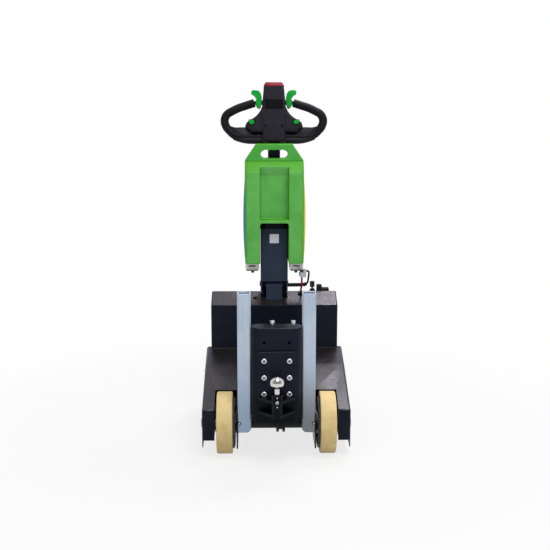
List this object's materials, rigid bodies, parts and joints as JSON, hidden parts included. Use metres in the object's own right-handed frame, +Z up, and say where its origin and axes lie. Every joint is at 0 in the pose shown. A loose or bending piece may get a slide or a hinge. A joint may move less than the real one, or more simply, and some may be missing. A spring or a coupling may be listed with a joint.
{
  "type": "pedestrian electric tow tractor",
  "caption": "Compact walk-behind electric tug: low steel chassis on drive wheels and castors, tow ball on a mast between push posts, tilting tiller with lift-off battery and loop grips.",
  "frame": {"origin": "on the floor, under the middle of the object's box", "axes": "+X to the right seen from the tow ball, +Y from the tow ball to the operator, +Z up"},
  "size_m": [0.437, 0.62, 1.0656],
  "materials": {
    "black_powder_coat": "fine-textured satin powder coat",
    "zinc_post": "zinc-plated, blue-passivated satin",
    "bright_steel": "turned and polished",
    "zinc_fittings": "zinc-plated",
    "cast_hub": "as cast, machined boss",
    "cream_tread": "matt polyurethane",
    "castor_tread": "matt solid rubber",
    "gear_case": "black enamel",
    "motor_black": "semi-gloss enamel",
    "green_case": "fine moulded texture",
    "blue_panel": "smooth",
    "yellow_panel": "smooth",
    "cast_foot": "bead-blasted",
    "grey_connector": "moulded",
    "black_plastic": "spark-eroded moulded texture",
    "grip_rubber": "soft-touch foam",
    "green_control": "smooth moulded",
    "red_button": "smooth moulded",
    "dark_screen": "clear smoked cover",
    "black_cable": "satin",
    "red_cable": "satin"
  },
  "bodies": {
    "chassis": {"deck_cover": "black_powder_coat", "wheel_box_left": "black_powder_coat", "wheel_box_right": "black_powder_coat", "inner_plate_left": "black_powder_coat", "inner_plate_right": "black_powder_coat", "cross_plate": "black_powder_coat", "base_plate": "black_powder_coat", "housing_cover": "black_powder_coat", "cable_gland": "black_plastic", "key_switch": "black_plastic", "charge_socket": "black_plastic", "post_left": "zinc_post", "post_right": "zinc_post", "mast": "black_powder_coat", "coupling_plate": "black_powder_coat", "hitch_bracket": "black_powder_coat", "tow_ball": "bright_steel", "transaxle": "gear_case", "drive_motor": "motor_black", "castor_plate_left": "zinc_fittings", "castor_plate_right": "zinc_fittings", "tiller_foot": "black_powder_coat"},
    "tiller": {"hinge_pin": "bright_steel", "tiller_column": "black_powder_coat", "dock_block": "black_powder_coat", "tiller_tube": "black_powder_coat", "battery_case": "green_case", "battery_handle": "green_case", "battery_panel_left": "blue_panel", "battery_panel_right": "yellow_panel", "battery_foot_left": "cast_foot", "battery_foot_right": "cast_foot", "battery_connector": "grey_connector", "black_lead": "black_cable", "red_lead": "red_cable", "head_body": "black_plastic", "belly_button": "red_button", "display_panel": "dark_screen", "horn_button_left": "green_control", "horn_button_right": "green_control", "grip_left": "grip_rubber", "grip_right": "grip_rubber", "thumb_lever_left": "green_control", "thumb_lever_right": "green_control"},
    "drive_wheel_left": {"drive_tyre_left": "cream_tread", "drive_hub_left": "cast_hub", "half_shaft_left": "bright_steel"},
    "castor_left": {"castor_fork_left": "zinc_fittings", "castor_axle_left": "zinc_fittings"},
    "castor_roller_left": {"castor_wheel_left": "castor_tread"},
    "drive_wheel_right": {"drive_tyre_right": "cream_tread", "drive_hub_right": "cast_hub", "half_shaft_right": "bright_steel"},
    "castor_right": {"castor_fork_right": "zinc_fittings", "castor_axle_right": "zinc_fittings"},
    "castor_roller_right": {"castor_wheel_right": "castor_tread"}
  },
  "joints": [
    {"name": "tiller_tilt", "type": "hinge", "parent": "chassis", "child": "tiller", "pos_m": [0, 0.218, 0.432], "axis": [-1, 0, 0], "range_deg": [0, 60], "stiffness_Nm_per_rad": 30, "springref_deg": -34.38},
    {"name": "drive_spin_left", "type": "hinge", "parent": "chassis", "child": "drive_wheel_left", "pos_m": [-0.1495, -0.143, 0.09], "axis": [1, 0, 0], "continuous": true},
    {"name": "castor_swivel_left", "type": "hinge", "parent": "chassis", "child": "castor_left", "pos_m": [-0.115, 0.236, 0.11], "axis": [0, 0, 1], "continuous": true},
    {"name": "castor_spin_left", "type": "hinge", "parent": "castor_left", "child": "castor_roller_left", "pos_m": [-0.115, 0.201, 0.05], "axis": [1, 0, 0], "continuous": true},
    {"name": "drive_spin_right", "type": "hinge", "parent": "chassis", "child": "drive_wheel_right", "pos_m": [0.1495, -0.143, 0.09], "axis": [1, 0, 0], "continuous": true},
    {"name": "castor_swivel_right", "type": "hinge", "parent": "chassis", "child": "castor_right", "pos_m": [0.115, 0.236, 0.11], "axis": [0, 0, 1], "continuous": true},
    {"name": "castor_spin_right", "type": "hinge", "parent": "castor_right", "child": "castor_roller_right", "pos_m": [0.115, 0.201, 0.05], "axis": [1, 0, 0], "continuous": true}
  ]
}
